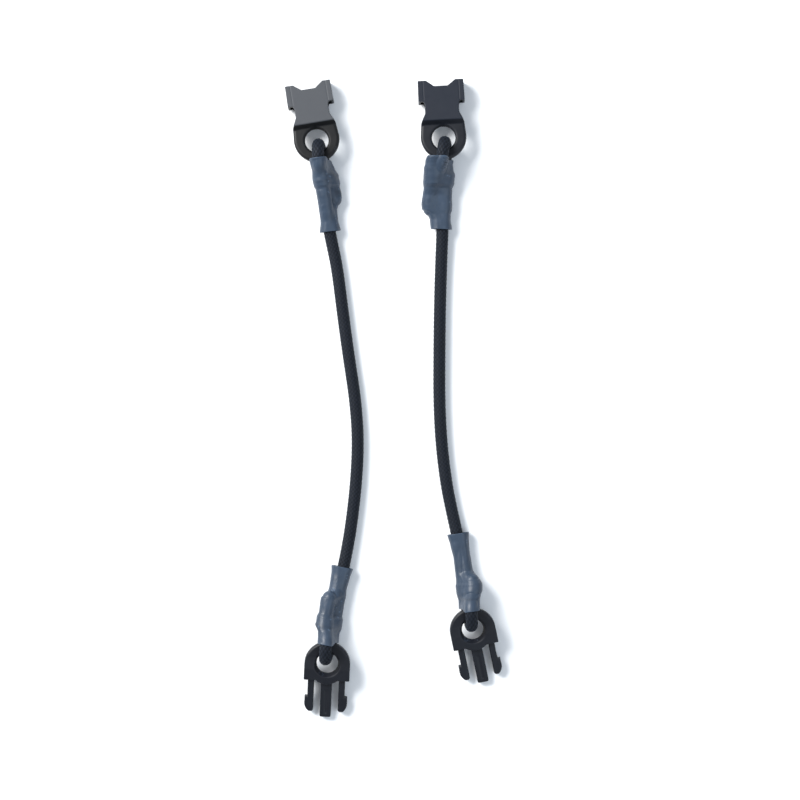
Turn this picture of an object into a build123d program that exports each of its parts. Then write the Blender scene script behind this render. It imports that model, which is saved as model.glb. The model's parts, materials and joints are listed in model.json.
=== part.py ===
from build123d import *
import os
from math import atan2, degrees, hypot, pi, radians, tan

os.makedirs("parts", exist_ok=True)

# A matched pair of short elastic-cord tethers, lying side by side on a table. Each one has the socket half
# of a miniature side-release buckle at its far end (+Y) and the plug half at its near end (-Y). The cord
# passes through each half's eye, doubles back, and is held by a binding of twine under a shrunk sleeve.
# Millimetres, +Z up, z = 0 is the table. "left" is -X and "right" is +X.

# ---- cord ----
CORD_D = 4.0
CORE_D = 3.1
SHEATH_BORE = 3.2
ARC_SHARE = 0.45

# ---- buckle halves: x is across, y runs from the eye to the mouth or the tongue, z is the thickness ----
EYE_RING_R = 7.3
RING_HALF_W = 7.6
RIM_HALF_H = 1.3
RIM_ROUND = 0.9
SOCKET_EYE_D = 7.8
PLUG_EYE_D = 7.1
EYE_BEVEL = 0.55
EYE_WAIST = 0.8
SOCKET_RIM_Y = -(EYE_RING_R + SOCKET_EYE_D / 2) / 2
PLUG_RIM_Y = -(EYE_RING_R + PLUG_EYE_D / 2) / 2

SOCKET_HALF_H = 3.0
MOUTH_Y = 19.2
SCOOP_DEPTH = 2.0
SCOOP_FLOOR_HALF_W = 2.3
SCOOP_TOP_HALF_W = 4.9
EAR_HALF_W = 7.7
EAR_TAPER = 0.1
EAR_END_Y = 12.1
EAR_UNDERCUT = 1.0
LEDGE_Y = 13.4
WAIST_HALF_W = 5.65
WAIST_END_Y = 8.2
NECK = (7.2, 4.9)
RING_START = (RING_HALF_W, 0.6)
RING_MIDWAY = (5.4, -4.95)
STEP_Y = 5.8
STEP_FOOT_Y = 4.4
CAVITY_HALF_W = 6.1
CAVITY_HALF_H = 1.6
CAVITY_BACK_Y = 7.9
TONGUE_POCKET_HALF_W = 2.1
TONGUE_POCKET_BACK_Y = 6.15
LEDGE_DEPTH = 0.8
GUIDE_RIB_X = 2.4
GUIDE_RIB_W = 0.6
GUIDE_RIB_END_Y = 13.6

PLUG_HALF_H = 2.2
SHOULDER_Y = 5.7
BOSS_Y = 7.0
BOSS_HALF_W = 3.5
TONGUE_HALF_W = 1.85
TONGUE_HALF_H = 1.3
TONGUE_END_Y = 18.6
TONGUE_ROUND = 0.6
PRONG_INNER_X = 4.1
PRONG_OUTER_X = 6.2
PRONG_ROOT_Y = 5.85
PRONG_CHAMFER = 0.25
HOOK_STEP_Y = 11.6
HOOK_OUTER_X = 7.1
HOOK_END_Y = 16.7
PLUG_SLOPE_Y = 2.0
PRONG_HALF_H = 1.35

# ---- how the ends sit ----
RIM_Z = 6.35
SOCKET_TILT = 7.6
PLUG_TILT = 12.6

# ---- shrunk sleeves and the twine under them ----
SLEEVE_WALL = 0.3
TWINE_D = 0.35
TWINE_TURNS = 6
TWINE_PITCH = 0.38
TWINE_MIDDLE = 8.2
TWINE_LEG_R = 2.45

# Each end of a tether is a frame: where the middle of the eye's rim is, the heading of the sleeve away from
# it, the buckle half's own heading, and the side of the sleeve that the cord's doubled-back tail lies on.
ENDS = {
    "left_upper": {"rim": (-24.7, 80.4), "sleeve": (0.128, -0.992), "yaw": 9.4, "tail_side": 1},
    "left_lower": {"rim": (-21.9, -82.1), "sleeve": (0.190, 0.982), "yaw": 177.4, "tail_side": 1},
    "right_upper": {"rim": (16.8, 81.2), "sleeve": (-0.027, -1.0), "yaw": 3.2, "tail_side": -1},
    "right_lower": {"rim": (25.0, -71.0), "sleeve": (-0.148, 0.989), "yaw": 191.7, "tail_side": -1},
}

# The cord through an eye, from its cut tail to where it leaves the sleeve: distance from the rim along the
# sleeve, distance to the tail's side, and height.
WIDE_OVER = [
    (18.0, 4.2, 2.8), (13.6, 4.25, 3.95), (9.6, 3.5, 5.9), (6.6, 2.7, 6.8), (4.2, 1.6, 8.3),
    (1.75, 0.9, 10.1), (-1.75, 0.5, 10.1), (-4.2, 0.2, 8.0), (-4.2, -0.1, 4.7), (-1.75, -0.35, 2.65),
    (1.75, -0.5, 2.75), (5.1, -0.4, 3.5), (9.3, -0.1, 3.7), (14.2, 0.0, 3.05), (19.8, 0.05, 2.75),
    (25.0, 0.0, 2.6),
]
STACKED_OVER = [
    (16.0, 2.6, 5.95), (12.6, 2.65, 6.05), (9.0, 2.6, 6.3), (6.4, 2.3, 6.85), (4.2, 1.5, 8.3),
    (1.75, 0.9, 10.1), (-1.75, 0.5, 10.1), (-4.2, 0.2, 8.0), (-4.2, -0.1, 4.7), (-1.75, -0.35, 2.65),
    (1.75, -0.5, 2.75), (5.1, -0.4, 3.3), (9.3, -0.2, 3.1), (14.2, -0.1, 2.75), (19.8, 0.0, 2.7),
    (25.0, 0.0, 2.6),
]
SHORT_OVER = [(10.8, 2.6, 6.05), (8.7, 2.6, 6.35)] + STACKED_OVER[3:]
TAIL_UNDER = [
    (14.4, 3.1, 2.75), (11.4, 2.8, 2.75), (8.2, 2.7, 3.0), (5.1, 2.3, 3.3), (1.75, 1.1, 2.75),
    (-1.75, 0.7, 2.65), (-4.2, 0.35, 4.7), (-4.2, 0.05, 8.0), (-1.75, -0.25, 10.1), (1.75, -0.5, 10.1),
    (4.2, -0.5, 8.3), (6.6, -0.35, 6.8), (9.2, -0.2, 6.25), (12.6, -0.1, 5.95), (16.0, 0.0, 5.2),
    (19.6, 0.05, 3.7), (25.0, 0.05, 2.6),
]
LOOPS = {
    "left_upper": TAIL_UNDER,
    "left_lower": STACKED_OVER,
    "right_upper": WIDE_OVER,
    "right_lower": SHORT_OVER,
}

# The cord between the two sleeves, on the table, from the socket's end to the plug's.
LIES_AT = 2.02
RUNS = {
    "left": [(-18.9, 44.0), (-17.2, 30.0), (-15.1, 14.5), (-12.8, -0.5), (-11.9, -14.0), (-12.6, -28.0),
             (-14.1, -41.0), (-15.5, -49.5)],
    "right": [(15.6, 42.5), (15.25, 29.0), (15.1, 14.5), (15.05, 0.0), (15.7, -14.0), (17.3, -27.5),
              (19.1, -36.5)],
}

# A sleeve's sections: distance from the rim, where the upper and the lower leg of the cord are (side, height),
# and the radius of the sleeve's outside round each leg.
WIDE_STATIONS = [
    (2.3, (1.25, 9.45), (-0.47, 3.1), 3.05),
    (4.6, (1.75, 8.1), (-0.4, 3.35), 3.0),
    (6.6, (2.66, 6.94), (-0.3, 3.55), 3.08),
    (9.6, (3.52, 5.82), (-0.1, 3.65), 3.06),
    (11.2, (3.8, 5.15), (-0.05, 3.45), 2.65),
    (13.6, (4.2, 4.05), (0.0, 3.15), 2.6),
    (18.2, (4.2, 2.85), (0.03, 2.85), 2.6),
    (20.6, (2.3, 2.8), (0.05, 2.8), 2.6),
    (24.4, (1.6, 2.7), (-0.5, 2.68), 2.62),
]
STACKED_STATIONS = [
    (2.5, (1.2, 9.45), (-0.47, 3.1), 3.05),
    (4.6, (1.6, 8.1), (-0.4, 3.25), 3.0),
    (6.4, (2.3, 6.9), (-0.33, 3.25), 3.02),
    (9.6, (2.62, 6.25), (-0.2, 3.1), 3.02),
    (11.0, (2.63, 6.15), (-0.17, 3.0), 2.65),
    (16.2, (2.6, 5.95), (-0.05, 2.75), 2.6),
    (18.6, (1.6, 4.0), (0.0, 2.75), 2.6),
    (26.6, (1.6, 2.7), (-0.5, 2.68), 2.62),
]
SHORT_STATIONS = STACKED_STATIONS[:4] + [
    (11.0, (2.6, 6.1), (-0.17, 3.0), 2.65),
    (12.6, (1.5, 4.2), (-0.13, 2.9), 2.65),
    (18.9, (0.7, 2.85), (-0.05, 2.75), 2.6),
    (26.5, (1.2, 2.7), (-0.6, 2.68), 2.62),
]
UNDER_STATIONS = [
    (2.5, (-0.5, 9.55), (1.3, 3.1), 3.05),
    (4.6, (-0.45, 8.1), (2.1, 3.3), 3.0),
    (6.4, (-0.38, 6.95), (2.5, 3.25), 3.02),
    (9.6, (-0.2, 6.25), (2.72, 3.05), 3.02),
    (11.0, (-0.15, 6.1), (2.78, 2.85), 2.65),
    (14.6, (-0.03, 5.5), (3.1, 2.8), 2.6),
    (16.6, (0.0, 4.95), (1.7, 2.9), 2.6),
    (20.0, (0.03, 3.6), (1.2, 2.8), 2.6),
    (24.6, (-0.4, 2.7), (1.6, 2.68), 2.62),
]
SLEEVES = {
    "left_upper": UNDER_STATIONS,
    "left_lower": STACKED_STATIONS,
    "right_upper": WIDE_STATIONS,
    "right_lower": SHORT_STATIONS,
}


def end_plane(end):
    """The end's frame as a plane: x to the tail's natural side, y up, z along the sleeve."""
    rim_x, rim_y = end["rim"]
    along = Vector(*end["sleeve"]).normalized()
    return Plane(origin=(rim_x, rim_y, 0), x_dir=Vector(0, 0, 1).cross(along), z_dir=along)


def seat(end, rim_y, tilt):
    """Where a buckle half sits: its rim's middle on the end's rim, its far end tilted down to the table."""
    rim = Location((*end["rim"], RIM_Z), (0, 0, end["yaw"]))
    return rim * Location((0, 0, 0), (-tilt, 0, 0)) * Location((0, -rim_y, 0))


def finish(part, label):
    part.label = label
    export_step(part, f"parts/{label}.step")


def eye_section(radius, half_height):
    """Half of the section of an eye: a narrow waist between two bevels, to be turned about z."""
    flare = radius + EYE_BEVEL * half_height / RIM_HALF_H
    half_waist = EYE_WAIST / 2
    return [(0, -half_height), (flare, -half_height), (radius, -half_waist), (radius, half_waist),
            (flare, half_height), (0, half_height)]


# ---- socket half: a hollow housing with an eye ----
with BuildPart() as socket:
    with BuildSketch() as outline:
        with BuildLine():
            Polyline((0, MOUTH_Y - SCOOP_DEPTH), (SCOOP_FLOOR_HALF_W, MOUTH_Y - SCOOP_DEPTH),
                     (SCOOP_TOP_HALF_W, MOUTH_Y), (EAR_HALF_W - EAR_TAPER, MOUTH_Y), (EAR_HALF_W, EAR_END_Y),
                     (WAIST_HALF_W + 0.35 * EAR_UNDERCUT, EAR_END_Y), (WAIST_HALF_W, EAR_END_Y - EAR_UNDERCUT),
                     (WAIST_HALF_W, WAIST_END_Y), NECK, RING_START)
            ThreePointArc(RING_START, RING_MIDWAY, (0, -EYE_RING_R))
            Line((0, -EYE_RING_R), (0, MOUTH_Y - SCOOP_DEPTH))
        make_face()
        mirror(about=Plane.YZ)
    extrude(amount=SOCKET_HALF_H, both=True)
    with BuildSketch(Plane.YZ) as ring_relief:
        with BuildLine():
            Polyline((STEP_Y, SOCKET_HALF_H + 0.5), (STEP_Y, SOCKET_HALF_H), (STEP_FOOT_Y, RIM_HALF_H),
                     (-EYE_RING_R - 1, RIM_HALF_H), (-EYE_RING_R - 1, SOCKET_HALF_H + 0.5), close=True)
        make_face()
        mirror(about=Plane.XZ)
    extrude(amount=RING_HALF_W + 1, both=True, mode=Mode.SUBTRACT)
    fillet(socket.faces().filter_by(Axis.Z).edges().filter_by_position(Axis.Y, -EYE_RING_R - 0.1, 0.7)
           .filter_by(GeomType.CIRCLE), RIM_ROUND)
    with BuildSketch(Plane.XZ):
        with BuildLine():
            Polyline(*eye_section(SOCKET_EYE_D / 2, SOCKET_HALF_H), close=True)
        make_face()
    revolve(axis=Axis.Z, mode=Mode.SUBTRACT)
    with BuildSketch(Plane.XY.offset(-CAVITY_HALF_H)):
        with Locations((0, CAVITY_BACK_Y)):
            Rectangle(2 * CAVITY_HALF_W, MOUTH_Y, align=(Align.CENTER, Align.MIN))
    extrude(amount=2 * CAVITY_HALF_H, mode=Mode.SUBTRACT)
    with BuildSketch(Plane.XY.offset(-CAVITY_HALF_H)):
        with Locations((0, EAR_END_Y - EAR_UNDERCUT)):
            Rectangle(2 * (CAVITY_HALF_W + LEDGE_DEPTH), LEDGE_Y - EAR_END_Y + EAR_UNDERCUT,
                      align=(Align.CENTER, Align.MIN))
        with Locations((0, TONGUE_POCKET_BACK_Y)):
            Rectangle(2 * TONGUE_POCKET_HALF_W, MOUTH_Y - TONGUE_POCKET_BACK_Y, align=(Align.CENTER, Align.MIN))
    extrude(amount=2 * CAVITY_HALF_H, mode=Mode.SUBTRACT)
    with BuildSketch(Plane.XY.offset(-CAVITY_HALF_H)):
        with Locations((-GUIDE_RIB_X, CAVITY_BACK_Y), (GUIDE_RIB_X, CAVITY_BACK_Y)):
            Rectangle(GUIDE_RIB_W, GUIDE_RIB_END_Y - CAVITY_BACK_Y, align=(Align.CENTER, Align.MIN))
    extrude(amount=2 * CAVITY_HALF_H)

# ---- plug half: ring, shoulder and tongue ----
with BuildPart() as plug:
    with BuildSketch():
        with BuildLine():
            Line((0, BOSS_Y), (0, -EYE_RING_R))
            ThreePointArc((0, -EYE_RING_R), RING_MIDWAY, RING_START)
            Polyline(RING_START, (RING_HALF_W, SHOULDER_Y), (BOSS_HALF_W, SHOULDER_Y))
            ThreePointArc((BOSS_HALF_W, SHOULDER_Y), (BOSS_HALF_W / 2, BOSS_Y - 0.3), (0, BOSS_Y))
        make_face()
        mirror(about=Plane.YZ)
    extrude(amount=PLUG_HALF_H, both=True)
    with BuildSketch(Plane.YZ):
        with BuildLine():
            Polyline((PLUG_SLOPE_Y, PLUG_HALF_H + 0.5), (PLUG_SLOPE_Y, PLUG_HALF_H), (-PLUG_SLOPE_Y, RIM_HALF_H),
                     (-EYE_RING_R - 1, RIM_HALF_H), (-EYE_RING_R - 1, PLUG_HALF_H + 0.5), close=True)
        make_face()
        mirror(about=Plane.XZ)
    extrude(amount=RING_HALF_W + 1, both=True, mode=Mode.SUBTRACT)
    fillet(plug.faces().filter_by(Axis.Z).edges().filter_by_position(Axis.Y, -EYE_RING_R - 0.1, 0.1 - PLUG_SLOPE_Y)
           .filter_by(GeomType.CIRCLE), RIM_ROUND)
    with BuildSketch(Plane.XZ):
        with BuildLine():
            Polyline(*eye_section(PLUG_EYE_D / 2, PLUG_HALF_H), close=True)
        make_face()
    revolve(axis=Axis.Z, mode=Mode.SUBTRACT)
    with BuildSketch(Plane.XY.offset(-TONGUE_HALF_H)):
        with Locations((0, SHOULDER_Y - 0.2)):
            Rectangle(2 * TONGUE_HALF_W, TONGUE_END_Y - SHOULDER_Y + 0.2, align=(Align.CENTER, Align.MIN))
    extrude(amount=2 * TONGUE_HALF_H)
    fillet(plug.faces().sort_by(Axis.Y)[-1].edges(), TONGUE_ROUND)

# ---- one side prong of the plug; the other is its mirror image ----
with BuildPart() as prong:
    with BuildSketch():
        with BuildLine():
            Polyline((PRONG_INNER_X + 0.5, HOOK_END_Y), (PRONG_INNER_X, HOOK_END_Y - 0.6),
                     (PRONG_INNER_X, PRONG_ROOT_Y), (PRONG_OUTER_X, PRONG_ROOT_Y), (PRONG_OUTER_X, HOOK_STEP_Y),
                     (HOOK_OUTER_X, HOOK_STEP_Y), (HOOK_OUTER_X, HOOK_STEP_Y + 1.4))
            ThreePointArc((HOOK_OUTER_X, HOOK_STEP_Y + 1.4), (HOOK_OUTER_X - 0.35, HOOK_END_Y - 1.3),
                          (PRONG_INNER_X + 1.6, HOOK_END_Y))
            Line((PRONG_INNER_X + 1.6, HOOK_END_Y), (PRONG_INNER_X + 0.5, HOOK_END_Y))
        make_face()
    extrude(amount=PRONG_HALF_H, both=True)
    chamfer(prong.faces().filter_by(Axis.Z).edges().filter_by_position(Axis.Y, PRONG_ROOT_Y + 0.5, HOOK_END_Y + 1),
            PRONG_CHAMFER)


def placed(shape, where):
    """A copy of a finished shape at its seat."""
    with BuildPart() as copy:
        with Locations(where):
            add(shape)
    return copy.part


def cord_route(side):
    """The cord's points from one cut tail to the other."""
    points = []
    for height, order in (("upper", 1), ("lower", -1)):
        name = f"{side}_{height}"
        plane = end_plane(ENDS[name])
        turned = ENDS[name]["tail_side"]
        loop = [plane.from_local_coords(Vector(turned * aside, up, away)) for away, aside, up in LOOPS[name]]
        points += loop[::order]
        if height == "upper":
            points += [Vector(x, y, LIES_AT) for x, y in RUNS[side]]
    return points


def bend_radii(points):
    """Each corner's arc is as large as its two runs allow."""
    radii = []
    for before, corner, after in zip(points, points[1:], points[2:]):
        half_turn = radians((corner - before).get_angle(after - corner)) / 2
        radii.append(ARC_SHARE * min((corner - before).length, (after - corner).length) / tan(half_turn))
    return radii


def cord_tube(route, radii, outer_d, bore_d):
    """A round tube, or a round bar where the bore is zero, along the route."""
    with BuildPart() as tube:
        with BuildLine() as path:
            FilletPolyline(*route, radius=radii)
        with BuildSketch(Plane(origin=path.line @ 0, z_dir=path.line % 0)):
            Circle(outer_d / 2)
            if bore_d > 0:
                Circle(bore_d / 2, mode=Mode.SUBTRACT)
        sweep(path=path.line)
    area = pi / 4 * (outer_d**2 - bore_d**2)
    length = sum(edge.length for edge in path.edges())
    print(f"length {length:.1f}, volume {tube.part.volume:.1f}, section x length {area * length:.1f}")
    return tube.part


def leg_middles(stations, away):
    """Where the upper and the lower leg of the cord are at a distance from the rim."""
    for near, far in zip(stations, stations[1:]):
        if near[0] <= away <= far[0]:
            share = (away - near[0]) / (far[0] - near[0])
            blend = [[a + share * (b - a) for a, b in zip(near[leg], far[leg])] for leg in (1, 2)]
            return blend[0], blend[1]
    raise ValueError("outside the sleeve")


def round_both_legs(plane, turned, away, upper, lower, radius):
    """A slot-shaped sketch across the sleeve that goes round both legs of the cord."""
    across, rise = turned * (upper[0] - lower[0]), upper[1] - lower[1]
    middle = (turned * (upper[0] + lower[0]) / 2, (upper[1] + lower[1]) / 2)
    with BuildSketch(plane.offset(away)) as slot:
        with Locations(middle):
            SlotOverall(hypot(across, rise) + 2 * radius, 2 * radius, rotation=degrees(atan2(rise, across)))
    return slot.sketch


def sleeve(end, stations):
    """A shrunk sleeve: a thin wall that follows the outline of the two legs and the twine."""
    plane, turned = end_plane(end), end["tail_side"]
    with BuildPart() as shell:
        for shrink, how in ((0, Mode.ADD), (SLEEVE_WALL, Mode.SUBTRACT)):
            sections = [round_both_legs(plane, turned, away, upper, lower, radius - shrink)
                        for away, upper, lower, radius in stations]
            loft(sections, ruled=True, mode=how)
    return shell.part


def twine(end, stations):
    """The binding under a sleeve: turns of waxed twine round both legs of the cord."""
    plane, turned = end_plane(end), end["tail_side"]
    with BuildPart() as turns:
        for turn in range(TWINE_TURNS):
            away = TWINE_MIDDLE + (turn - (TWINE_TURNS - 1) / 2) * TWINE_PITCH
            upper, lower = leg_middles(stations, away)
            loop = round_both_legs(plane, turned, away, upper, lower, TWINE_LEG_R).face().outer_wire()
            with BuildSketch(Plane(origin=loop @ 0, z_dir=loop % 0)):
                Circle(TWINE_D / 2)
            sweep(path=loop)
    return turns.part


for side in ("left", "right"):
    upper_end, lower_end = ENDS[f"{side}_upper"], ENDS[f"{side}_lower"]
    socket_seat = seat(upper_end, SOCKET_RIM_Y, SOCKET_TILT)
    plug_seat = seat(lower_end, PLUG_RIM_Y, PLUG_TILT)
    finish(placed(socket.part, socket_seat), f"{side}_socket_housing")
    finish(placed(plug.part, plug_seat), f"{side}_plug_body")
    finish(placed(prong.part, plug_seat), f"{side}_plug_prong_a")
    finish(placed(prong.part.mirror(Plane.YZ), plug_seat), f"{side}_plug_prong_b")

    route = cord_route(side)
    radii = bend_radii(route)
    print(f"{side} cord radii:", " ".join(f"{radius:.1f}" for radius in radii))
    finish(cord_tube(route, radii, CORD_D, SHEATH_BORE), f"{side}_cord_sheath")
    finish(cord_tube(route, radii, CORE_D, 0), f"{side}_cord_core")

    for height in ("upper", "lower"):
        name = f"{side}_{height}"
        finish(sleeve(ENDS[name], SLEEVES[name]), f"{name}_sleeve")
        finish(twine(ENDS[name], SLEEVES[name]), f"{name}_binding")
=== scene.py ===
"""A matched pair of elastic buckle tethers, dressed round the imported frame. Metres throughout, +Z up."""

from __future__ import annotations

import json
import logging
import math
from dataclasses import dataclass, field
from enum import Enum

import bpy
import numpy as np
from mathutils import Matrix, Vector, noise

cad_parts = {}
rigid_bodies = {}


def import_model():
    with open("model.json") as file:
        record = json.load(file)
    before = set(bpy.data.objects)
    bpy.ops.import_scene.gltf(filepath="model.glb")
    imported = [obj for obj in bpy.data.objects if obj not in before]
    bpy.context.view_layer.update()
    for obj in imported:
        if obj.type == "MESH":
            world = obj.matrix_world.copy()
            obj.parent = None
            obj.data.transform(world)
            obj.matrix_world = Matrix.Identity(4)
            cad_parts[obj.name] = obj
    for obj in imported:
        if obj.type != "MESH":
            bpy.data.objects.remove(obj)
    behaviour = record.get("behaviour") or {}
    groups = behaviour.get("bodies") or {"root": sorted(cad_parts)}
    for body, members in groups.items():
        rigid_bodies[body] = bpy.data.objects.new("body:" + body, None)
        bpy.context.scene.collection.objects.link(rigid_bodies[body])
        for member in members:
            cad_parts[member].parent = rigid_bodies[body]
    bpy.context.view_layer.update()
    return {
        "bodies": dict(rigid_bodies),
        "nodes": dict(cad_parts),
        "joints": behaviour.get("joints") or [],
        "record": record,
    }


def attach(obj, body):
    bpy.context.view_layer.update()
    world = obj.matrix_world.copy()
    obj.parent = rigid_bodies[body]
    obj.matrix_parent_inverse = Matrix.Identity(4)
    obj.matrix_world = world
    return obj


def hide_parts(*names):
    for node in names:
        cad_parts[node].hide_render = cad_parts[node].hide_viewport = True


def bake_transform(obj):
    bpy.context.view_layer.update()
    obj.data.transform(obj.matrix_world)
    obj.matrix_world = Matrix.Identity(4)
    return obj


log = logging.getLogger("tethers")

MM = 0.001
CORD_DIAMETER = 0.004
LIES_AT = 0.00202
TABLE_GAP = 0.00003

# A cord through an eye, from its cut tail to where it leaves the sleeve: distance from the eye's rim along
# the sleeve, distance towards the tail's side, and height.
WIDE_OVER = [
    (0.018, 0.0042, 0.0028), (0.0136, 0.00425, 0.00395), (0.0096, 0.0035, 0.0059),
    (0.0066, 0.0027, 0.0068), (0.0042, 0.0016, 0.0083), (0.00175, 0.0009, 0.0101),
    (-0.00175, 0.0005, 0.0101), (-0.0042, 0.0002, 0.008), (-0.0042, -0.0001, 0.0047),
    (-0.00175, -0.00035, 0.00265), (0.00175, -0.0005, 0.00275), (0.0051, -0.0004, 0.0035),
    (0.0093, -0.0001, 0.0037), (0.0142, 0.0, 0.00305), (0.0198, 0.00005, 0.00275),
    (0.025, 0.0, 0.0026),
]
STACKED_OVER = [
    (0.016, 0.0026, 0.00595), (0.0126, 0.00265, 0.00605), (0.009, 0.0026, 0.0063),
    (0.0064, 0.0023, 0.00685), (0.0042, 0.0015, 0.0083), (0.00175, 0.0009, 0.0101),
    (-0.00175, 0.0005, 0.0101), (-0.0042, 0.0002, 0.008), (-0.0042, -0.0001, 0.0047),
    (-0.00175, -0.00035, 0.00265), (0.00175, -0.0005, 0.00275), (0.0051, -0.0004, 0.0033),
    (0.0093, -0.0002, 0.0031), (0.0142, -0.0001, 0.00275), (0.0198, 0.0, 0.0027),
    (0.025, 0.0, 0.0026),
]
SHORT_OVER = [(0.0108, 0.0026, 0.00605), (0.0087, 0.0026, 0.00635)] + STACKED_OVER[3:]
TAIL_UNDER = [
    (0.0144, 0.0031, 0.00275), (0.0114, 0.0028, 0.00275), (0.0082, 0.0027, 0.003),
    (0.0051, 0.0023, 0.0033), (0.00175, 0.0011, 0.00275), (-0.00175, 0.0007, 0.00265),
    (-0.0042, 0.00035, 0.0047), (-0.0042, 0.00005, 0.008), (-0.00175, -0.00025, 0.0101),
    (0.00175, -0.0005, 0.0101), (0.0042, -0.0005, 0.0083), (0.0066, -0.00035, 0.0068),
    (0.0092, -0.0002, 0.00625), (0.0126, -0.0001, 0.00595), (0.016, 0.0, 0.0052),
    (0.0196, 0.00005, 0.0037), (0.025, 0.00005, 0.0026),
]

# The cord between its two sleeves, where it lies on the table, from the socket's end to the plug's.
LEFT_RUN = [
    (-0.0189, 0.044), (-0.0172, 0.03), (-0.0151, 0.0145), (-0.0128, -0.0005), (-0.0119, -0.014),
    (-0.0126, -0.028), (-0.0141, -0.041), (-0.0155, -0.0495),
]
RIGHT_RUN = [
    (0.0156, 0.0425), (0.01525, 0.029), (0.0151, 0.0145), (0.01505, 0.0), (0.0157, -0.014),
    (0.0173, -0.0275), (0.0191, -0.0365),
]


class Side(Enum):
    """Which tether of the pair."""

    LEFT = "left"
    RIGHT = "right"


class Half(Enum):
    """Which end of a tether: the buckle's socket is at the upper end, its plug at the lower."""

    UPPER = "upper"
    LOWER = "lower"


# ---------------------------------------------------------------- mesh helpers


def smooth_object(name: str, mesh: bpy.types.Mesh) -> bpy.types.Object:
    """Links a new object for a mesh, shaded smooth.

    Args:
        name: the piece's name.
        mesh: its mesh.

    Returns:
        The linked object.
    """
    mesh.polygons.foreach_set("use_smooth", [True] * len(mesh.polygons))
    piece = bpy.data.objects.new(name, mesh)
    bpy.context.scene.collection.objects.link(piece)
    return piece


def ring_faces(rings: int, around: int, first: int = 0) -> list[tuple[int, ...]]:
    """Quads that join each ring of points to the next.

    Args:
        rings: how many rings.
        around: how many points in each.
        first: the index of the first ring's first point.

    Returns:
        The faces, facing out where the points run anticlockwise seen against the rings' direction.
    """
    faces = []
    for ring in range(rings - 1):
        for step in range(around):
            a = first + ring * around + step
            b = first + ring * around + (step + 1) % around
            faces.append((a, b, b + around, a + around))
    return faces


def mesh_from(name: str, points: np.ndarray, faces: list[tuple[int, ...]]) -> bpy.types.Mesh:
    """A mesh from points and faces.

    Args:
        name: its name.
        points: an array of n by 3.
        faces: tuples of point indices.

    Returns:
        The mesh, validated.
    """
    mesh = bpy.data.meshes.new(name)
    mesh.from_pydata([tuple(point) for point in points.tolist()], [], faces)
    mesh.update()
    mesh.validate()
    return mesh


def write_values(mesh: bpy.types.Mesh, name: str, values: np.ndarray) -> None:
    """Stores one number per point, for the shaders to read.

    Args:
        mesh: the mesh.
        name: the attribute's name.
        values: one value per point.
    """
    layer = mesh.attributes.new(name, "FLOAT", "POINT")
    layer.data.foreach_set("value", values.astype(np.float32))


def transported_frames(line: np.ndarray) -> tuple[np.ndarray, np.ndarray, np.ndarray]:
    """Axes along a line that turn with it and never twist about it.

    Args:
        line: points along the line, n by 3.

    Returns:
        The tangents and two sideways axes at each point.
    """
    tangents = np.gradient(line, axis=0)
    tangents /= np.linalg.norm(tangents, axis=1)[:, None]
    first = np.cross(tangents[0], (0.0, 0.0, 1.0))
    sides = [first / np.linalg.norm(first)]
    for tangent in tangents[1:]:
        side = sides[-1] - tangent * np.dot(sides[-1], tangent)
        sides.append(side / np.linalg.norm(side))
    across = np.array(sides)
    return tangents, across, np.cross(tangents, across)


def evenly_along(line: np.ndarray, spacing: float) -> np.ndarray:
    """Points read from a finished line at an even spacing.

    Args:
        line: the line's points.
        spacing: the distance wanted between points.

    Returns:
        The evenly spaced points.
    """
    travelled = np.concatenate([[0.0], np.cumsum(np.linalg.norm(np.diff(line, axis=0), axis=1))])
    stations = np.linspace(0.0, travelled[-1], max(2, round(travelled[-1] / spacing) + 1))
    return np.stack([np.interp(stations, travelled, line[:, axis]) for axis in range(3)], axis=1)


# ---------------------------------------------------------------- shared shader effects


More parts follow.
